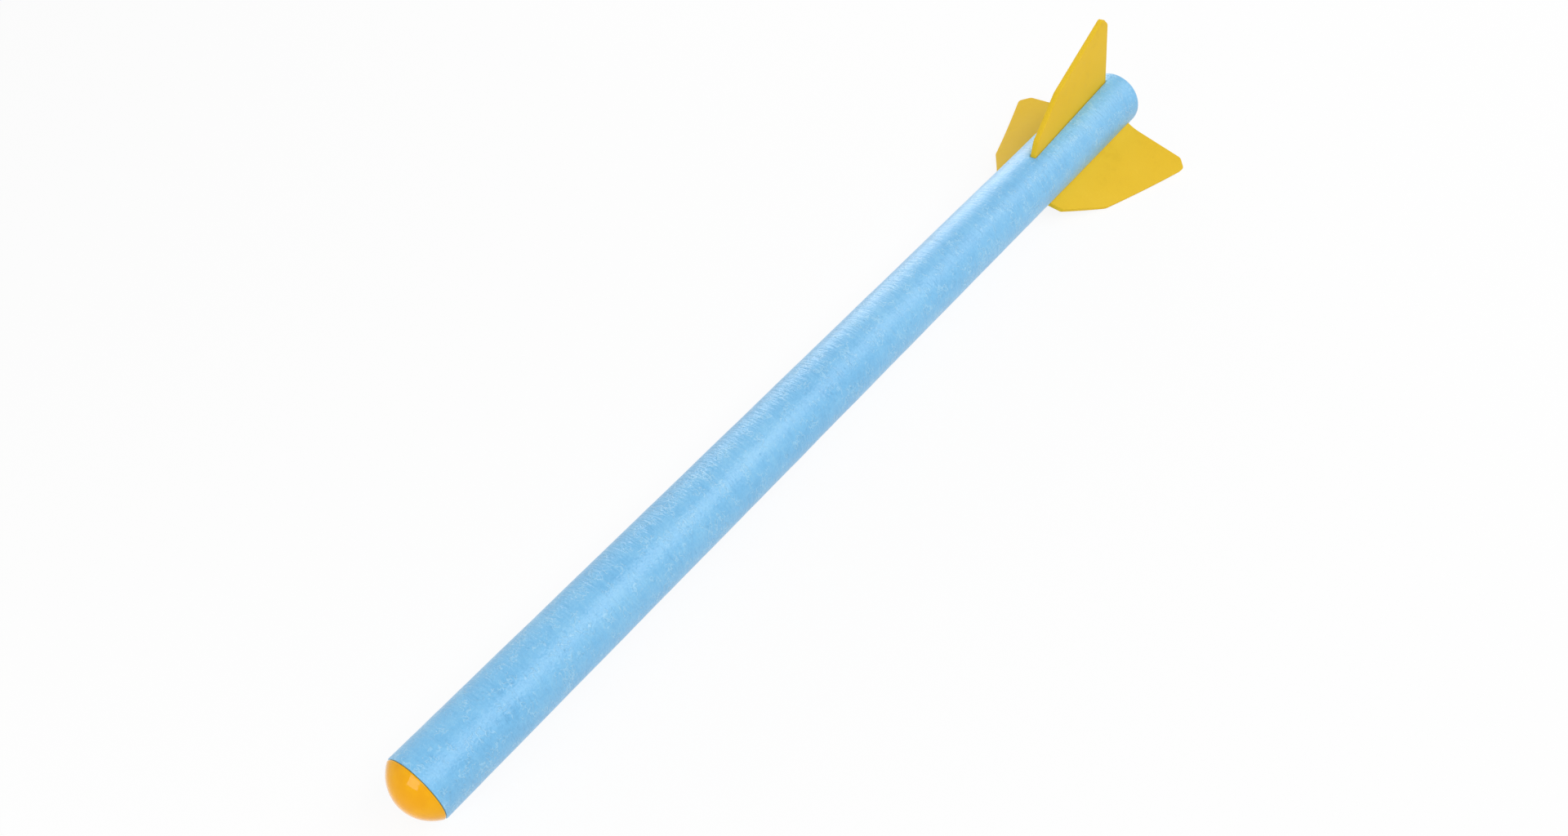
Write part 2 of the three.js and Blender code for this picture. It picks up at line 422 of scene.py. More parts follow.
@dataclass(frozen=True)
class SkinnedFoam(Finish):
    """Extruded closed cell foam: a softly shining skin with fine ripples across the shaft."""

    deep: Colour
    body: Colour
    pale: Colour
    cut: Colour
    axis_height: float
    cut_from: float
    cut_radius: float
    cut_blend: float = 0.0012
    # pale tint of the ripple lines: painted highlight, as of light catching them
    stroke_highlight: Colour = (0.42, 0.75, 0.98)
    speck: Colour = (0.8, 0.93, 1.0)
    ripple_grain: Grain = Grain((430, 80, 80), 2.5, 0.55)
    fine_grain: Grain = Grain(520.0, 3.0, 0.6)
    patch_grain: Grain = Grain(85.0, 4.0, 0.62)
    drift_grain: Grain = Grain((9, 22, 22), 2.0)
    stroke_grain: Grain = Grain((330, 220, 220), 1.0)
    group_grain: Grain = Grain(100.0, 2.0)
    cell_scale: float = 640.0
    speck_marks: Marks = Marks(210.0, gone=0.17, full=0.06, channel="Red", chance=0.8)
    pit_marks: Marks = Marks(
        (170, 120, 120), gone=0.2, full=0.08, channel="Green", chance=0.74, offset=(3.1, 7.7, 1.9)
    )
    relief_depth: float = 0.0009

    def surface(self, graph: ShaderGraph) -> Signal:
        """Builds the shader.

        Args:
            graph: the material's graph.

        Returns:
            The shader's output.
        """
        point = graph.place()
        ripple = graph.cloud(point, self.ripple_grain)
        grain = graph.cloud(point, self.fine_grain)
        patches = graph.cloud(point, self.patch_grain)
        drift = graph.cloud(point, self.drift_grain)
        cells = graph.bubbles(point, self.cell_scale)
        ripple_and_highlight_strokes = self._ripple_and_highlight_strokes_mask(graph, point)
        specks = graph.marks(point, self.speck_marks)
        pits = graph.marks(point, self.pit_marks)
        cut = self._cut_face(graph, point)

        tone = patches * 0.4 + ripple * 0.25 + drift * 0.4 + grain * 0.3
        skin = graph.blend(tone.ramp(0.6, 0.95), self.body, self.pale)
        skin = graph.blend(tone.ramp(0.68, 0.4), skin, self.deep)
        # painted highlight: the ripple lines are tinted pale as if light caught them; their bump is
        # added below
        skin = graph.blend(ripple_and_highlight_strokes * 0.45, skin, self.stroke_highlight)
        skin = graph.blend(specks * 0.22, skin, self.speck)
        skin = graph.blend(pits * 0.5, skin, self.deep)
        inside = graph.blend(cells.ramp(0.15, 0.75), self.deep, self.cut)
        colour = graph.blend(cut, skin, inside)

        roughness = 0.38 + (ripple - 0.5) * 0.2 + (patches - 0.5) * 0.2 + cut * 0.2
        height = ripple * 0.95 + grain * 0.45 + patches * 0.2 + cells * 0.14
        height = height + ripple_and_highlight_strokes * 0.16 + specks * 0.1 - pits * 0.2
        normal = graph.relief(height + cut * (cells * 1.6), self.relief_depth)
        sockets = {
            "Base Color": colour,
            "Roughness": roughness,
            "Normal": normal,
            "Specular IOR Level": 1.0,
            "Sheen Weight": 0.12,
            "Sheen Roughness": 0.35,
        }
        return graph.node("ShaderNodeBsdfPrincipled", None, sockets)["BSDF"]

    def _ripple_and_highlight_strokes_mask(self, graph: ShaderGraph, point: Signal) -> Signal:
        """Draws short lines in loose groups: ripples of the skin, which the colour also tints pale
        as painted highlight.

        Args:
            graph: the material's graph.
            point: the point on the piece.

        Returns:
            1 on a line and 0 beside it.
        """
        winding = graph.cloud(point, self.stroke_grain) - 0.5
        lines = graph.math("ABSOLUTE", winding).ramp(0.06, 0.02)
        return lines * graph.cloud(point, self.group_grain).ramp(0.5, 0.58)

    def _cut_face(self, graph: ShaderGraph, point: Signal) -> Signal:
        """Marks the sawn face at the tail, inside the rounded edge.

        Args:
            graph: the material's graph.
            point: the point on the piece.

        Returns:
            1 on the sawn face and 0 on the skin.
        """
        place = graph.node("ShaderNodeSeparateXYZ", None, {"Vector": point})
        side = place["Y"]
        up = place["Z"] - self.axis_height
        off_axis = (side * side + up * up) ** 0.5
        within = off_axis.ramp(self.cut_radius + self.cut_blend, self.cut_radius - self.cut_blend)
        return within * place["X"].ramp(self.cut_from - self.cut_blend, self.cut_from)


@dataclass(frozen=True)
class SheetFoam(Finish):
    """Dense sheet foam: an even, matt face and a slightly paler, more open cut edge, whose paleness
    is partly painted highlight of light falling on the edge.
    """

    deep: Colour
    body: Colour
    pale: Colour
    # the cut edge's colour: partly its open cells, partly painted highlight
    edge: Colour
    drift_grain: Grain = Grain(26.0, 2.0)
    patch_grain: Grain = Grain(150.0, 3.0, 0.6)
    fine_grain: Grain = Grain(1100.0, 2.0, 0.6)
    cell_scale: float = 1250.0
    relief_depth: float = 0.0003

    def surface(self, graph: ShaderGraph) -> Signal:
        """Builds the shader.

        Args:
            graph: the material's graph.

        Returns:
            The shader's output.
        """
        point = graph.place()
        drift = graph.cloud(point, self.drift_grain)
        patches = graph.cloud(point, self.patch_grain)
        fine = graph.cloud(point, self.fine_grain)
        cells = graph.bubbles(point, self.cell_scale)
        rim = graph.node("ShaderNodeAttribute", {"attribute_name": "rim"})["Fac"]

        tone = drift * 0.55 + patches * 0.3 + fine * 0.15
        colour = graph.blend(tone.ramp(0.5, 0.78), self.body, self.pale)
        colour = graph.blend(tone.ramp(0.5, 0.28), colour, self.deep)
        # cut edge: open cells, and a paler tint that is partly painted highlight
        open_cells_and_highlight = graph.blend(cells.ramp(0.1, 0.7), self.body, self.edge)
        colour = graph.blend(rim * 0.8, colour, open_cells_and_highlight)
        roughness = 0.68 + (patches - 0.5) * 0.25 + rim * 0.1
        height = cells * (0.2 + rim * 0.2) + patches * 0.4 + fine * 0.25
        sockets = {
            "Base Color": colour,
            "Roughness": roughness,
            "Normal": graph.relief(height, self.relief_depth),
            "Specular IOR Level": 0.2,
        }
        return graph.node("ShaderNodeBsdfPrincipled", None, sockets)["BSDF"]


@dataclass(frozen=True)
class GlossMoulding(Finish):
    """Soft moulded plastic with a glossy face, a faint orange peel and a few rub marks."""

    deep: Colour
    body: Colour
    pale: Colour
    rub: Colour
    flow_grain: Grain = Grain((30, 55, 55), 2.0)
    peel_grain: Grain = Grain(380.0, 2.0)
    grit_grain: Grain = Grain((900, 260, 260), 3.0, 0.6)
    relief_depth: float = 0.00002

    def surface(self, graph: ShaderGraph) -> Signal:
        """Builds the shader.

        Args:
            graph: the material's graph.

        Returns:
            The shader's output.
        """
        point = graph.place()
        flow = graph.cloud(point, self.flow_grain)
        peel = graph.cloud(point, self.peel_grain)
        grit = graph.cloud(point, self.grit_grain)
        rubbed = grit.ramp(0.66, 0.76) * flow.ramp(0.5, 0.62)

        colour = graph.blend(flow.ramp(0.35, 0.5), self.deep, self.body)
        colour = graph.blend(flow.ramp(0.52, 0.7), colour, self.pale)
        colour = graph.blend(rubbed * 0.25, colour, self.rub)
        roughness = 0.025 + (peel - 0.5) * 0.01 + rubbed * 0.3
        facing = graph.node("ShaderNodeLayerWeight", None, {"Blend": 0.5})["Facing"]
        height = peel * 0.6 + flow * 0.4 + rubbed * 0.1
        sockets = {
            "Base Color": colour,
            "Roughness": roughness,
            "Normal": graph.relief(height, self.relief_depth),
            "Specular IOR Level": 0.17,
            "Coat Weight": facing.ramp(0.56, 0.97),
            "Coat Roughness": 0.2,
        }
        return graph.node("ShaderNodeBsdfPrincipled", None, sockets)["BSDF"]


@dataclass(frozen=True)
class ExtrudedTube(Finish):
    """Plain extruded plastic tube with faint lines along it."""

    body: Colour
    pale: Colour
    line_grain: Grain = Grain((6, 900, 900), 2.0)
    dust_grain: Grain = Grain(180.0, 3.0, 0.6)
    relief_depth: float = 0.0001

    def surface(self, graph: ShaderGraph) -> Signal:
        """Builds the shader.

        Args:
            graph: the material's graph.

        Returns:
            The shader's output.
        """
        point = graph.place()
        lines = graph.cloud(point, self.line_grain)
        dust = graph.cloud(point, self.dust_grain)
        tone = lines * 0.6 + dust * 0.4
        sockets = {
            "Base Color": graph.blend(tone.ramp(0.4, 0.62), self.body, self.pale),
            "Roughness": 0.42 + (dust - 0.5) * 0.3,
            "Normal": graph.relief(lines * 0.7 + dust * 0.3, self.relief_depth),
        }
        return graph.node("ShaderNodeBsdfPrincipled", None, sockets)["BSDF"]


@dataclass(frozen=True)
class TurnedSteel(Finish):
    """Turned steel bar: bright rings across it and a dull film."""

    body: Colour
    film: Colour
    ring_grain: Grain = Grain((2600, 40, 40), 2.0, 0.6)
    film_grain: Grain = Grain(160.0, 3.0, 0.6)
    relief_depth: float = 0.00005

    def surface(self, graph: ShaderGraph) -> Signal:
        """Builds the shader.

        Args:
            graph: the material's graph.

        Returns:
            The shader's output.
        """
        point = graph.place()
        rings = graph.cloud(point, self.ring_grain)
        film = graph.cloud(point, self.film_grain)
        sockets = {
            "Base Color": graph.blend(film.ramp(0.45, 0.7), self.body, self.film),
            "Metallic": 1.0,
            "Roughness": 0.3 + (film - 0.4) * 0.35,
            "Normal": graph.relief(rings, self.relief_depth),
        }
        return graph.node("ShaderNodeBsdfPrincipled", None, sockets)["BSDF"]


# Meshes


class Form:
    """A mesh in the making, and what shapes it."""

    merge_distance: float = 1e-7
    place_digits: int = 7
    ring_tolerance: float = 1e-6

    def __init__(self) -> None:
        """Starts empty."""
        self.mesh = bmesh.new()

    @classmethod
    def turned(cls, profile: Sequence[Point], steps: int, closed: bool = True) -> "Form":
        """Spins a profile round the X axis.

        Args:
            profile: (along, radius) points, in order.
            steps: facets round the axis.
            closed: whether the last point joins the first.

        Returns:
            The turned form, with its normals outwards.
        """
        form = cls()
        points = [form.mesh.verts.new((along, 0.0, radius)) for along, radius in profile]
        ends = points[1:] + points[:1] if closed else points[1:]
        edges = [form.mesh.edges.new(pair) for pair in zip(points, ends)]
        bmesh.ops.spin(
            form.mesh, geom=points + edges, cent=(0, 0, 0), axis=(1, 0, 0),
            angle=2 * math.pi, steps=steps, use_merge=True,
        )
        bmesh.ops.remove_doubles(form.mesh, verts=form.mesh.verts, dist=cls.merge_distance)
        bmesh.ops.recalc_face_normals(form.mesh, faces=form.mesh.faces)
        return form

    def ring(self, along: float, radius: float) -> list[bmesh.types.BMEdge]:
        """Finds the edges of one ring of a turned form.

        Args:
            along: the ring's place along X.
            radius: its radius.

        Returns:
            Its edges.
        """
        def on_ring(vertex: bmesh.types.BMVert) -> bool:
            """Tells whether a vertex lies on the ring."""
            misses = (vertex.co.x - along, math.hypot(vertex.co.y, vertex.co.z) - radius)
            return all(abs(miss) < self.ring_tolerance for miss in misses)

        return [edge for edge in self.mesh.edges if all(map(on_ring, edge.verts))]

    def soften(self, edges: Iterable[bmesh.types.BMEdge], reach: float, segments: int) -> None:
        """Rounds edges.

        Args:
            edges: the edges.
            reach: how far the rounding goes to either side.
            segments: facets across it.
        """
        bmesh.ops.bevel(
            self.mesh, geom=list(edges), offset=reach, offset_type="OFFSET", segments=segments,
            profile=0.5, affect="EDGES", material=-1, clamp_overlap=True,
        )

    def round_corner(self, corner: bmesh.types.BMVert, reach: float, segments: int) -> None:
        """Rounds one corner of a flat outline.

        Args:
            corner: its vertex.
            reach: how far the rounding goes along either edge.
            segments: edges of the rounding.
        """
        bmesh.ops.bevel(
            self.mesh, geom=[corner], offset=reach, offset_type="OFFSET", segments=segments,
            profile=0.5, affect="VERTICES", material=-1, clamp_overlap=True,
        )

    def extrude(
        self, faces: Sequence[bmesh.types.BMFace]
    ) -> tuple[list[bmesh.types.BMVert], list[bmesh.types.BMFace]]:
        """Extrudes faces, by nothing as yet.

        Args:
            faces: the faces, which stay where they are.

        Returns:
            The new vertices and the new faces opposite the old ones.
        """
        grown = bmesh.ops.extrude_face_region(self.mesh, geom=faces)["geom"]
        corners = [part for part in grown if isinstance(part, bmesh.types.BMVert)]
        return corners, [part for part in grown if isinstance(part, bmesh.types.BMFace)]

    def slice(self, normal: Vector, places: Iterable[float]) -> None:
        """Cuts new edges along parallel planes, without taking anything off.

        Args:
            normal: the planes' direction.
            places: their distances from the origin.
        """
        for place in places:
            everything = [*self.mesh.verts, *self.mesh.edges, *self.mesh.faces]
            bmesh.ops.bisect_plane(
                self.mesh, geom=everything, dist=self.merge_distance, plane_co=normal * place,
                plane_no=normal,
            )

    def displace(self, shift: Callable[[Vector], Vector]) -> None:
        """Moves every vertex.

        Args:
            shift: gives a vertex's new place from its old one.
        """
        for vertex in self.mesh.verts:
            vertex.co = shift(vertex.co.copy())

    def transform(self, matrix: Matrix) -> None:
        """Moves the whole form by a matrix."""
        bmesh.ops.transform(self.mesh, matrix=matrix, verts=self.mesh.verts)

    def shade(self, crease: float) -> None:
        """Shades the form smooth, apart from its sharp edges.

        Args:
            crease: the angle in degrees from which an edge is sharp.
        """
        for face in self.mesh.faces:
            face.smooth = True
        for edge in self.mesh.edges:
            edge.smooth = edge.calc_face_angle(0.0) < math.radians(crease)

    def arrange(self) -> None:
        """Orders the vertices, edges and faces by place, so that every run gives the same mesh."""
        digits = self.place_digits
        self.rank(self.mesh.verts, lambda vertex: [round(number, digits) for number in vertex.co])
        for parts in (self.mesh.edges, self.mesh.faces):
            self.rank(parts, lambda part: sorted(vertex.index for vertex in part.verts))

    @staticmethod
    def rank(
        parts: "bmesh.types.BMVertSeq | bmesh.types.BMEdgeSeq | bmesh.types.BMFaceSeq",
        key: Callable[..., list],
    ) -> None:
        """Puts one kind of a mesh's parts in order.

        Args:
            parts: all the vertices, edges or faces.
            key: gives what one of them is ordered by.
        """
        ranks = {part: rank for rank, part in enumerate(sorted(parts, key=key))}
        parts.sort(key=lambda part: ranks[part])
        parts.index_update()

    def to_object(self, name: str) -> bpy.types.Object:
        """Makes the form an object of the scene.

        Args:
            name: the object's name.

        Returns:
            The object, at the origin, with its place in its mesh.
        """
        data = bpy.data.meshes.new(name)
        self.arrange()
        self.mesh.to_mesh(data)
        self.mesh.free()
        made = bpy.data.objects.new(name, data)
        bpy.context.scene.collection.objects.link(made)
        return made


def cut_away(blank: bpy.types.Object, cutters: Sequence[bpy.types.Object]) -> None:
    """Cuts shapes out of an object and leaves no modifier on it.

    Args:
        blank: the object that is cut.
        cutters: the shapes to take away, which are removed from the scene.
    """
    for cutter in cutters:
        modifier = blank.modifiers.new("cut", "BOOLEAN")
        modifier.operation = "DIFFERENCE"
        modifier.solver = "EXACT"
        modifier.object = cutter
    graph = bpy.context.evaluated_depsgraph_get()
    cut = bpy.data.meshes.new_from_object(blank.evaluated_get(graph))
    blank.modifiers.clear()
    blank.data = cut
    for cutter in cutters:
        bpy.data.objects.remove(cutter)


@dataclass(frozen=True)
class Layout:
    """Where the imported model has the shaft's axis and the ends of its pieces."""

    axis_height: float
    shaft_radius: float
    shaft_front: float
    shaft_back: float
    cap_tip: float
    cap_radius: float
    spigot_end: float
    tube_front: float
    tube_back: float
    plug_front: float

    @classmethod
    def from_frame(cls) -> "Layout":
        """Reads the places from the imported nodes' boxes.

        Returns:
            The layout.
        """
        shaft_low, shaft_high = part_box("foam_shaft")
        cap_low, cap_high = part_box("nose_cap")
        tube_low, tube_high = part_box("core_tube")
        plug_low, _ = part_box("tail_plug")
        return cls(
            axis_height=(shaft_low.z + shaft_high.z) / 2,
            shaft_radius=(shaft_high.z - shaft_low.z) / 2,
            shaft_front=shaft_low.x,
            shaft_back=shaft_high.x,
            cap_tip=cap_low.x,
            cap_radius=(cap_high.z - cap_low.z) / 2,
            spigot_end=cap_high.x,
            tube_front=tube_low.x,
            tube_back=tube_high.x,
            plug_front=plug_low.x,
        )

    @property
    def to_axis(self) -> Matrix:
        """Raises a form that was built round the X axis to the shaft's axis."""
        return Matrix.Translation((0, 0, self.axis_height))


class SubAssembly(ABC):
    """A group of pieces with its own sizes."""

    @abstractmethod
    def build(self) -> list[bpy.types.Object]:
        """Builds and dresses the pieces.

        Returns:
            The pieces.
        """

    @staticmethod
    def dress(piece: bpy.types.Object, material: bpy.types.Material, slot: Slot, node: str) -> None:
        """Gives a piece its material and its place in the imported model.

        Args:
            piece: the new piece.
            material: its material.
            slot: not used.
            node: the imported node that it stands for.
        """
        piece.data.materials.clear()
        piece.data.materials.append(material)
        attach(piece, BODY)
        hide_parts(node)


@dataclass
class Fins(SubAssembly):
    """Three sheet foam fins, with tabs in the shaft's slots.

    The slot's lip is given as heights from the skin and how far the slot has opened there.
    """

    layout: Layout
    root_chord: float = 0.134
    tail_offset: float = 0.0166
    thickness: float = 0.005
    edge_softening: float = 0.00045
    tab_depth: float = 0.016
    height: float = 0.0664
    tip_ahead: float = 0.0069
    tip_back: float = 0.0014
    tip_drop: float = 0.009
    belly_ahead: float = 0.091
    belly_height: float = 0.0392
    chin_back: float = 0.0055
    chin_height: float = 0.0123
    chin_radius: float = 0.004
    belly_radius: float = 0.0143
    tip_radius: float = 0.0045
    cant: float = math.radians(2.8)
    fold_reach: float = 0.012
    facet: float = 0.003
    gap: float = 0.0003
    slot_lip: tuple[Point, ...] = (
        (-0.0016, 0.0), (-0.0009, 0.00012), (-0.0006, 0.0003), (0.004, 0.0053)
    )

    @property
    def half_chord(self) -> float:
        """Half the length of a fin's root."""
        return self.root_chord / 2

    def seat(self, stance: Stance) -> Matrix:
        """Places a fin on the shaft.

        Args:
            stance: which fin.

        Returns:
            The move from the fin's own plane, XZ, to its place round the shaft.
        """
        middle = self.layout.shaft_back - self.tail_offset - self.half_chord
        place = Matrix.Translation((middle, 0, self.layout.axis_height))
        return place @ Matrix.Rotation(stance.roll, 4, "X") @ Matrix.Rotation(self.cant, 4, "Z")

    def outline(self) -> list[Triple]:
        """Gives the corners of a fin.

        Returns:
            For each corner, its place along from mid chord, out from the axis, and its rounding.
        """
        half, root = self.half_chord, self.layout.shaft_radius
        return [
            (-half, root - self.tab_depth, 0.0),
            (half, root - self.tab_depth, 0.0),
            (half, root, 0.0),
            (half + self.tip_back, root + self.height - self.tip_drop, self.tip_radius),
            (half - self.tip_ahead, root + self.height, self.tip_radius),
            (half - self.belly_ahead, root + self.belly_height, self.belly_radius),
            (self.chin_back - half, root + self.chin_height, self.chin_radius),
            (-half, root, 0.0),
        ]

    def fold(self, stance: Stance) -> Callable[[Vector], Vector]:
        """Folds a fin along its root as the floor does, and more at its tail.

        Args:
            stance: which fin.

        Returns:
            A function from a point of the flat fin to its place on the folded one.
        """
        reach = self.fold_reach
        tip_slope = stance.rise / (self.height - reach / 2)
        tip_place = 1 + (self.half_chord - self.tip_ahead) / self.half_chord

        def folded(point: Vector) -> Vector:
            """Moves one point. The slope grows evenly over the fold and stays so beyond it.

            Args:
                point: a point of the flat fin.

            Returns:
                Its place on the folded one.
            """
            out = max(point.z - self.layout.shaft_radius, 0.0)
            inside = min(out, reach)
            slope = tip_slope * (1 + point.x / self.half_chord) / tip_place
            lift = slope * (inside**2 / (2 * reach) + out - inside)
            draw_in = slope**2 / 2 * (inside**3 / (3 * reach**2) + out - inside)
            return point + Vector((0, lift, -draw_in))

        return folded

    def sheet(self, stance: Stance) -> Form:
        """Builds one fin.

        Args:
            stance: which fin.

        Returns:
            The fin in its place.
        """
        form = Form()
        outline = self.outline()
        corners = [form.mesh.verts.new((along, 0, out)) for along, out, _ in outline]
        form.mesh.faces.new(corners)
        for index, (corner, (_, _, radius)) in enumerate(zip(corners, outline)):
            if radius:
                here = Vector(outline[index][:2])
                before = Vector(outline[index - 1][:2]) - here
                after = Vector(outline[(index + 1) % len(outline)][:2]) - here
                reach = radius / math.tan(before.angle(after) / 2)
                form.round_corner(corner, reach, segments=6)
        moved, _ = form.extrude(form.mesh.faces[:])
        bmesh.ops.translate(form.mesh, verts=moved, vec=(0, self.thickness, 0))
        bmesh.ops.translate(form.mesh, verts=form.mesh.verts, vec=(0, -self.thickness / 2, 0))
        bmesh.ops.recalc_face_normals(form.mesh, faces=form.mesh.faces)
        flat = [face for face in form.mesh.faces if abs(face.normal.y) > 0.9]
        edges = {edge for face in flat for edge in face.edges}
        form.soften(edges, self.edge_softening, segments=3)
        self.divide(form)
        self.mark_rim(form)
        form.displace(self.fold(stance))
        form.transform(self.seat(stance))
        form.shade(crease=40)
        return form

    def divide(self, form: Form) -> None:
        """Divides a flat fin into small facets, so that it can be folded.

        Args:
            form: the fin, flat.
        """
        root = self.layout.shaft_radius
        rows = range(-int(self.tab_depth / self.facet), math.ceil(self.height / self.facet))
        columns = range(math.ceil((self.root_chord + self.tip_back) / self.facet))
        first = self.facet / 2 - self.half_chord
        form.slice(Vector((0, 0, 1)), (root + self.facet * row for row in rows))
        form.slice(Vector((1, 0, 0)), (first + self.facet * column for column in columns))

    def mark_rim(self, form: Form) -> None:
        """Marks the cut edge of a fin for its finish, 0 on its faces and 1 on its edge.

        Args:
            form: the fin, flat.
        """
        rim = form.mesh.verts.layers.float.new("rim")
        inner = self.thickness / 2 - self.edge_softening * 0.6
        for vertex in form.mesh.verts:
            on_edge = any(abs(face.normal.y) < 0.5 for face in vertex.link_faces)
            vertex[rim] = 1.0 if on_edge and abs(vertex.co.y) < inner else 0.0

    def slot_cutter(self, stance: Stance) -> bpy.types.Object:
        """Builds the shape that cuts a fin's slot, with its mouth opened into a soft lip.

        Args:
            stance: which fin.

        Returns:
            The cutter, in place.
        """
        form = Form()
        bmesh.ops.create_grid(form.mesh, x_segments=1, y_segments=1, size=1.0)
        half_width = self.thickness / 2 + self.gap
        bmesh.ops.scale(
            form.mesh, verts=form.mesh.verts, vec=(self.half_chord + self.gap, half_width, 1)
        )
        root = self.layout.shaft_radius
        floor = root - self.tab_depth - self.gap
        bmesh.ops.translate(form.mesh, verts=form.mesh.verts, vec=(0, 0, floor))
        top = form.mesh.faces[:]
        last_height, last_growth = floor, 0.0
        for rise, growth in self.slot_lip:
            height = root + rise
            below = top
            moved, top = form.extrude(below)
            if last_height > floor:
                bmesh.ops.delete(form.mesh, geom=below, context="FACES_ONLY")
            for vertex in moved:
                step = growth - last_growth
                vertex.co.x += math.copysign(step, vertex.co.x)
                vertex.co.y += math.copysign(step, vertex.co.y)
                vertex.co.z += height - last_height
            last_height, last_growth = height, growth
        bmesh.ops.recalc_face_normals(form.mesh, faces=form.mesh.faces)
        form.transform(self.seat(stance))
        return form.to_object("slot_cutter")

    def build(self) -> list[bpy.types.Object]:
        """Builds and dresses the fins.

        Returns:
            The fins.
        """
        finish = SheetFoam(
            deep=linear(229, 187, 38),
            body=linear(237, 195, 46),
            pale=linear(241, 201, 58),
            # paler cut edge colour, partly painted highlight
            edge=linear(252, 212, 46),
        ).material("yellow_sheet_foam")
        fins = []
        for stance in Stance:
            fin = self.sheet(stance).to_object(f"{stance.node}_sheet")
            self.dress(fin, finish, Slot.FIN_YELLOW, stance.node)
            fins.append(fin)
        return fins


@dataclass
class FoamShaft(SubAssembly):
    """The foam tube: softly uneven, rounded at the tail, slotted for the fins."""

    layout: Layout
    fins: Fins
    bore_radius: float = 0.0083
    socket_radius: float = 0.0132
    nose_edge: float = 0.0012
    tail_edge: float = 0.005
    bore_edge: float = 0.0004
    facets: int = 128
    ring_pitch: float = 0.004
    unevenness: float = 0.00022
    wave_scale: Triple = (26, 40, 40)
    lump_scale: Triple = (90, 70, 70)
    lump_offset: Triple = (5, 5, 5)

    def build(self) -> list[bpy.types.Object]:
        """Builds and dresses the shaft.

        Returns:
            The shaft.
        """
        place = self.layout
        radius = place.shaft_radius
        form = Form.turned(
            [
                (place.shaft_front, self.socket_radius),
                (place.shaft_front, radius),
                (place.shaft_back, radius),
                (place.shaft_back, self.bore_radius),
                (place.tube_front, self.bore_radius),
                (place.tube_front, self.socket_radius),
            ],
            self.facets,
        )
        form.soften(form.ring(place.shaft_front, radius), self.nose_edge, segments=4)
        form.soften(form.ring(place.shaft_back, radius), self.tail_edge, segments=8)
        form.soften(form.ring(place.shaft_back, self.bore_radius), self.bore_edge, segments=2)
        self.divide_along(form)
        form.displace(self.uneven)
        form.transform(place.to_axis)
        shaft = form.to_object("foam_shaft_skin")
        cut_away(shaft, [self.fins.slot_cutter(stance) for stance in Stance])
        self.shade(shaft)
        finish = SkinnedFoam(
            deep=linear(94, 175, 225),
            body=linear(115, 191, 238),
            pale=linear(143, 208, 245),
            cut=linear(128, 185, 222),
            axis_height=place.axis_height,
            cut_from=place.shaft_back,
            cut_radius=radius - self.tail_edge,
        ).material("blue_skinned_foam")
        self.dress(shaft, finish, Slot.FOAM_BLUE, "foam_shaft")
        return [shaft]

    def divide_along(self, form: Form) -> None:
        """Cuts the long outer faces into short rings, so that they can be uneven.

        Args:
            form: the turned shaft.
        """
        half_length = (self.layout.shaft_back - self.layout.shaft_front) / 2
        long_edges = [
            edge for edge in form.mesh.edges
            if edge.calc_length() > half_length
            and all(vertex.co.yz.length > self.socket_radius for vertex in edge.verts)
        ]
        cuts = round(long_edges[0].calc_length() / self.ring_pitch)
        bmesh.ops.subdivide_edges(form.mesh, edges=long_edges, cuts=cuts, use_grid_fill=False)

    def uneven(self, point: Vector) -> Vector:
        """Moves a point of the outer skin in or out a little, as extruded foam varies.

        Args:
            point: a point of the shaft, which runs along the X axis here.

        Returns:
            Its new place, which is the old one inside the shaft.
        """
        off_axis = point.yz.length
        if off_axis < (self.socket_radius + self.layout.shaft_radius) / 2:
            return point
        waves = noise.noise(point * Vector(self.wave_scale))
        lumps = noise.noise(point * Vector(self.lump_scale) + Vector(self.lump_offset))
        share = 1 + self.unevenness * (0.65 * waves + 0.35 * lumps - 0.5) / off_axis
        return Vector((point.x, point.y * share, point.z * share))

    @staticmethod
    def shade(shaft: bpy.types.Object) -> None:
        """Shades the cut shaft smooth, with crisp inner corners.

        Args:
            shaft: the shaft, with its slots cut.
        """
        form = Form()
        form.mesh.from_mesh(shaft.data)
        form.shade(crease=38)
        form.arrange()
        form.mesh.to_mesh(shaft.data)
        form.mesh.free()


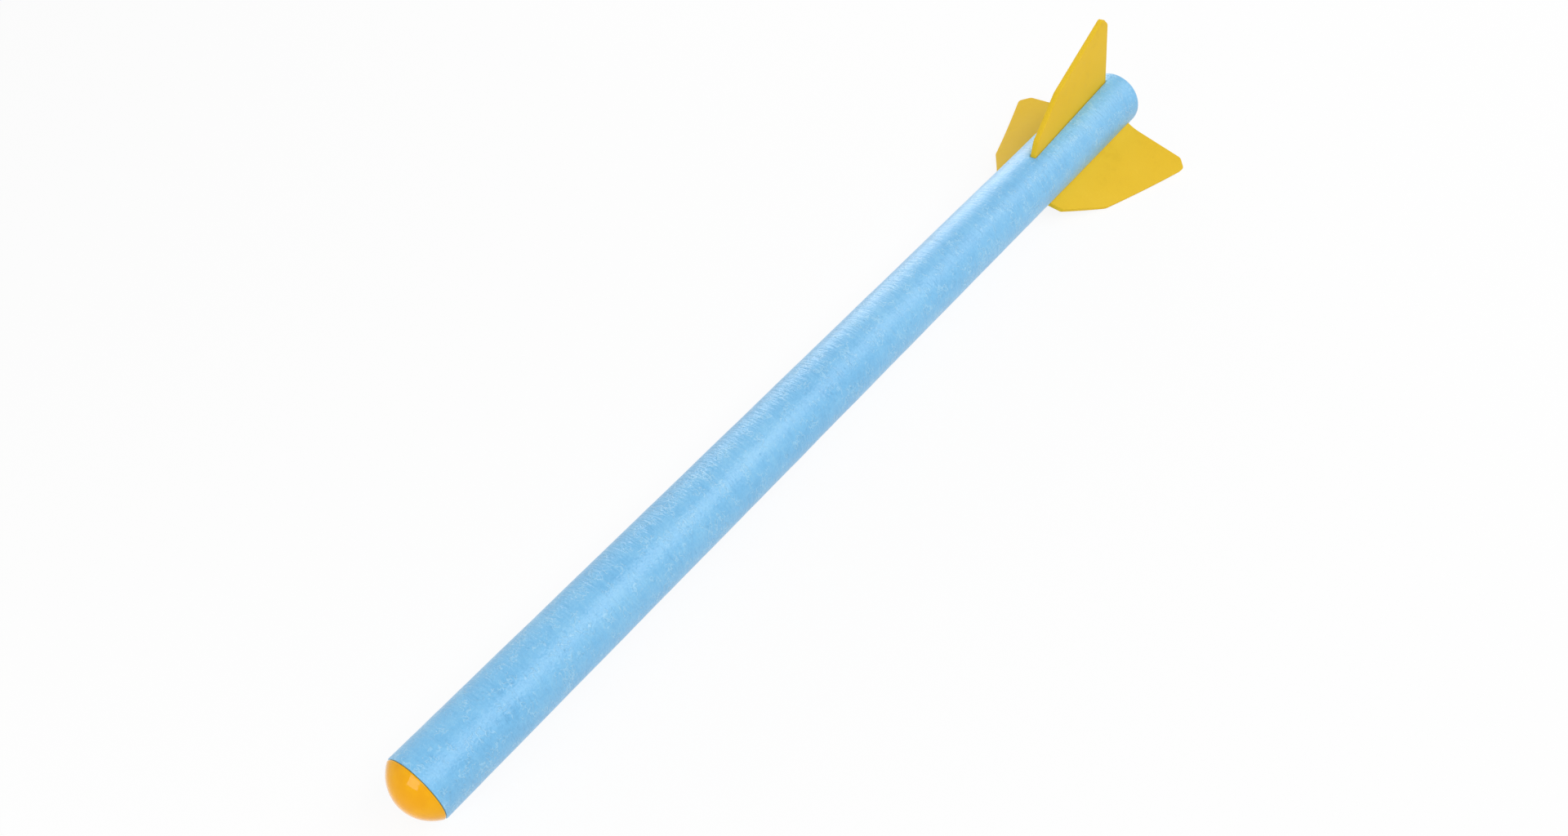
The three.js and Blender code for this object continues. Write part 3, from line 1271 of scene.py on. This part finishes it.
@dataclass
class NoseCap(SubAssembly):
    """The moulded cap: a dome on a barbed spigot, ribbed inside, with a blind bore."""

    layout: Layout
    height: float = 0.015
    rim_width: float = 0.0008
    rim_softening: float = 0.00025
    wall: float = 0.0024
    spigot_radius: float = 0.012
    spigot_lead_in: float = 0.002
    barb_height: float = 0.0009
    barb_length: float = 0.005
    barb_pitch: float = 0.009
    barb_start: float = 0.007
    barb_count: int = 3
    slug_radius: float = 0.0063
    slug_depth: float = 0.0363
    rib_thickness: float = 0.0016
    rib_setback: float = 0.001
    rib_count: int = 6
    facets: int = 144
    dome_steps: int = 26
    inner_steps: int = 8

    @property
    def back(self) -> float:
        """Where the cap's rim meets the foam."""
        return self.layout.cap_tip + self.height

    @property
    def dome_radius(self) -> float:
        """Radius of the sphere through the tip and the rim."""
        rise = self.height - self.rim_width
        return (self.layout.cap_radius**2 + rise**2) / (2 * rise)

    def dome(self, radius: float, start: float, end: float, steps: int) -> list[Point]:
        """Gives a stretch of the dome's profile, or of a sphere inside it.

        Args:
            radius: the sphere's radius.
            start: distance from the axis at the first point.
            end: distance from the axis at the last point.
            steps: edges between them.

        Returns:
            The profile's points.
        """
        centre = self.layout.cap_tip + self.dome_radius
        first, last = math.asin(start / radius), math.asin(end / radius)
        angles = [first + (last - first) * step / steps for step in range(steps + 1)]
        return [(centre - radius * math.cos(angle), radius * math.sin(angle)) for angle in angles]

    def profile(self) -> list[Point]:
        """Gives the cap's profile, from the tip round the rim and back up the bore.

        Returns:
            The profile's points.
        """
        back, end = self.back, self.layout.spigot_end
        outer = self.dome(self.dome_radius, 0.0, self.layout.cap_radius, self.dome_steps)
        inner_rim = self.layout.cap_radius - self.wall
        inner_radius = self.dome_radius - self.wall
        inner = self.dome(inner_radius, inner_rim, self.spigot_radius, self.inner_steps)
        barbs = []
        for barb in range(self.barb_count):
            front = back + self.barb_start + barb * self.barb_pitch
            barbs += [
                (front, self.spigot_radius),
                (front, self.spigot_radius + self.barb_height),
                (front + self.barb_length, self.spigot_radius),
            ]
        return [
            *outer,
            (back, self.layout.cap_radius),
            (back, inner_rim),
            *inner,
            *barbs,
            (end - self.spigot_lead_in, self.spigot_radius),
            (end, self.spigot_radius - self.spigot_lead_in),
            (end, self.slug_radius),
            (end - self.slug_depth, self.slug_radius),
            (end - self.slug_depth, 0.0),
        ]

    def add_ribs(self, form: Form) -> None:
        """Adds the ribs that carry the dome on the spigot, each let into both.

        Args:
            form: the turned cap.
        """
        core = self.dome_radius - self.wall / 2
        low = (self.spigot_radius + self.slug_radius) / 2
        high = self.layout.cap_radius - self.wall / 2
        arc = self.dome(core, low, high, self.inner_steps)
        rib_back = self.back - self.rib_setback
        corners = [*arc, (rib_back, high), (rib_back, low)]
        for rib in range(self.rib_count):
            points = [form.mesh.verts.new((along, 0, out)) for along, out in corners]
            moved, _ = form.extrude([form.mesh.faces.new(points)])
            bmesh.ops.translate(form.mesh, verts=points, vec=(0, -self.rib_thickness / 2, 0))
            bmesh.ops.translate(form.mesh, verts=moved, vec=(0, self.rib_thickness / 2, 0))
            bmesh.ops.rotate(
                form.mesh, verts=points + moved, cent=(0, 0, 0),
                matrix=Matrix.Rotation(2 * math.pi * rib / self.rib_count, 3, "X"),
            )

    def build(self) -> list[bpy.types.Object]:
        """Builds and dresses the cap.

        Returns:
            The cap.
        """
        form = Form.turned(self.profile(), self.facets, closed=False)
        form.soften(form.ring(self.back, self.layout.cap_radius), self.rim_softening, segments=2)
        self.add_ribs(form)
        bmesh.ops.recalc_face_normals(form.mesh, faces=form.mesh.faces)
        form.transform(self.layout.to_axis)
        form.shade(crease=32)
        cap = form.to_object("nose_cap_moulding")
        finish = GlossMoulding(
            deep=linear(243, 169, 0),
            body=linear(247, 176, 0),
            pale=linear(250, 184, 0),
            rub=linear(255, 205, 70),
        ).material("orange_gloss_moulding")
        self.dress(cap, finish, Slot.CAP_ORANGE, "nose_cap")
        return [cap]


@dataclass
class TailBung(SubAssembly):
    """The foam bung that closes the stiffening tube, flush with the tail."""

    layout: Layout
    head_radius: float = 0.008
    stem_radius: float = 0.0052
    head_length: float = 0.014
    head_edge: float = 0.0005
    stem_edge: float = 0.001
    facets: int = 72

    def build(self) -> list[bpy.types.Object]:
        """Builds and dresses the bung.

        Returns:
            The bung.
        """
        place = self.layout
        seat = place.shaft_back - self.head_length
        form = Form.turned(
            [
                (place.plug_front, 0.0),
                (place.plug_front, self.stem_radius),
                (seat, self.stem_radius),
                (seat, self.head_radius),
                (place.shaft_back, self.head_radius),
                (place.shaft_back, 0.0),
            ],
            self.facets,
            closed=False,
        )
        form.soften(form.ring(place.plug_front, self.stem_radius), self.stem_edge, segments=3)
        form.soften(form.ring(place.shaft_back, self.head_radius), self.head_edge, segments=3)
        form.transform(place.to_axis)
        form.shade(crease=50)
        bung = form.to_object("tail_bung_foam")
        finish = SkinnedFoam(
            deep=linear(86, 160, 210),
            body=linear(104, 173, 221),
            pale=linear(126, 189, 230),
            cut=linear(120, 178, 216),
            axis_height=place.axis_height,
            cut_from=place.shaft_back,
            cut_radius=self.head_radius,
        ).material("blue_bung_foam")
        self.dress(bung, finish, Slot.FOAM_BLUE, "tail_plug")
        return [bung]


@dataclass
class Core(SubAssembly):
    """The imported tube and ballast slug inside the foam, which keep their shapes."""

    nodes: Mapping[str, bpy.types.Object]

    def build(self) -> list[bpy.types.Object]:
        """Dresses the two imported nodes.

        Returns:
            The nodes.
        """
        finishes = {
            "core_tube": ExtrudedTube(body=linear(214, 217, 220), pale=linear(232, 234, 236)),
            "nose_weight": TurnedSteel(body=(0.48, 0.5, 0.53), film=(0.33, 0.34, 0.35)),
        }
        for node, finish in finishes.items():
            data = self.nodes[node].data
            data.materials.clear()
            data.materials.append(finish.material(f"{node}_finish"))
        return [self.nodes[node] for node in finishes]


# Studio


@dataclass(frozen=True)
class Softbox:
    """A rectangular lamp that faces a point."""

    name: str
    place: Vector
    target: Vector
    width: float
    depth: float
    watts: float

    def hang(self) -> bpy.types.Object:
        """Hangs the lamp.

        Returns:
            The lamp.
        """
        data = bpy.data.lights.new(self.name, "AREA")
        data.shape = "RECTANGLE"
        data.size, data.size_y = self.width, self.depth
        data.energy = self.watts
        lamp = bpy.data.objects.new(self.name, data)
        lamp.location = self.place
        lamp.rotation_euler = (self.target - self.place).to_track_quat("-Z", "Y").to_euler()
        bpy.context.scene.collection.objects.link(lamp)
        return lamp


@dataclass(frozen=True)
class PaperFloor(Finish):
    """White paper: it keeps the shadow, and reads white to the camera and in reflections."""

    paper: Colour
    lift: float
    fibre_grain: Grain = Grain(240.0, 3.0, 0.6)

    def surface(self, graph: ShaderGraph) -> Signal:
        """Builds the shader.

        Args:
            graph: the material's graph.

        Returns:
            The shader's output.
        """
        fibre = graph.cloud(graph.place(), self.fibre_grain)
        paper = graph.node(
            "ShaderNodeBsdfPrincipled", None,
            {
                "Base Color": self.paper,
                "Roughness": 0.75 + (fibre - 0.5) * 0.1,
                "Specular IOR Level": 0.2,
            },
        )["BSDF"]
        glow = graph.node("ShaderNodeEmission", None, {"Color": WHITE, "Strength": 1.0})
        sockets = {0: graph.seen_white() * self.lift, 1: paper, 2: glow["Emission"]}
        return graph.node("ShaderNodeMixShader", None, sockets)["Shader"]


@dataclass
class Studio:
    """White floor, soft even light and the camera."""

    layout: Layout
    floor_size: float = 24.0
    paper: Colour = (0.95, 0.95, 0.95)
    paper_lift: float = 0.9
    ambient: float = 0.36
    lens: float = 34.251
    sensor: float = 36.0
    clip_start: float = 0.01
    clip_end: float = 100.0
    camera_from_axis: Vector = field(default_factory=lambda: Vector((-0.63597, -0.46805, 0.85288)))
    camera_forward: Vector = field(default_factory=lambda: Vector((0.51471, 0.41540, -0.75001)))
    camera_up: Vector = field(default_factory=lambda: Vector((0.60277, 0.44676, 0.66111)))

    def lay_floor(self) -> bpy.types.Object:
        """Lays the paper floor.

        Returns:
            The floor.
        """
        form = Form()
        bmesh.ops.create_grid(form.mesh, x_segments=2, y_segments=2, size=self.floor_size / 2)
        floor = form.to_object("paper_floor")
        floor.data.materials.append(PaperFloor(self.paper, self.paper_lift).material("white_paper"))
        return floor

    def light_world(self) -> None:
        """Fills the room with even light, white to the camera and in reflections."""
        world = bpy.data.worlds.new("white_room")
        world.use_nodes = True
        graph = ShaderGraph(world.node_tree)
        strength = self.ambient + graph.seen_white() * (1.0 - self.ambient)
        glow = graph.node("ShaderNodeBackground", None, {"Color": WHITE, "Strength": strength})
        graph.node("ShaderNodeOutputWorld", None, {"Surface": glow["Background"]})
        bpy.context.scene.world = world

    def hang_lamps(self) -> list[bpy.types.Object]:
        """Hangs the lamps.

        Returns:
            The lamps.
        """
        def on_axis(along: float) -> Vector:
            """Gives a point of the shaft's axis, or of its line beyond the javelin."""
            return Vector((along, 0, self.layout.axis_height))

        nose = on_axis(self.layout.cap_tip)
        band = Vector((1.6, -1.05, 1.8))
        lamps = [
            Softbox(
                "key_softbox", place=Vector((-1.58, 0.04, 0.69)), target=nose,
                width=0.64, depth=0.7, watts=6.6,
            ),
            Softbox(
                "top_softbox", place=Vector((-0.5, -1.2, 2.1)), target=on_axis(0.0),
                width=1.6, depth=1.0, watts=15.0,
            ),
            Softbox(
                "band_softbox", place=band, target=on_axis(band.x),
                width=2.8, depth=1.1, watts=24.0,
            ),
            Softbox(
                "far_softbox", place=Vector((1.25, 1.15, 0.3)), target=on_axis(0.3),
                width=1.1, depth=0.6, watts=9.5,
            ),
        ]
        return [lamp.hang() for lamp in lamps]

    def place_camera(self) -> bpy.types.Object:
        """Stands the camera where the photograph was taken from.

        Returns:
            The camera.
        """
        data = bpy.data.cameras.new("photo_camera")
        data.lens, data.sensor_width = self.lens, self.sensor
        data.clip_start, data.clip_end = self.clip_start, self.clip_end
        camera = bpy.data.objects.new("photo_camera", data)
        forward = self.camera_forward.normalized()
        right = forward.cross(self.camera_up).normalized()
        up = right.cross(forward)
        turn = Matrix((right, up, -forward)).transposed().to_4x4()
        axis = Vector((0, 0, self.layout.axis_height))
        camera.matrix_world = Matrix.Translation(axis + self.camera_from_axis) @ turn
        bpy.context.scene.collection.objects.link(camera)
        bpy.context.scene.camera = camera
        return camera

    def set_up(self) -> None:
        """Sets up everything round the object."""
        self.place_camera()
        self.lay_floor()
        self.light_world()
        self.hang_lamps()
        bpy.context.scene.view_settings.view_transform = "Standard"


def main() -> None:
    """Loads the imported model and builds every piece."""
    logging.basicConfig(level=logging.INFO, format="%(name)s: %(message)s")
    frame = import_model()
    layout = Layout.from_frame()
    Studio(layout).set_up()
    fins = Fins(layout)
    groups = [FoamShaft(layout, fins), NoseCap(layout), fins, TailBung(layout), Core(frame["nodes"])]
    for group in groups:
        for piece in group.build():
            log.info("%s: %s, %d faces", type(group).__name__, piece.name, len(piece.data.polygons))


if __name__ == "__main__":
    main()
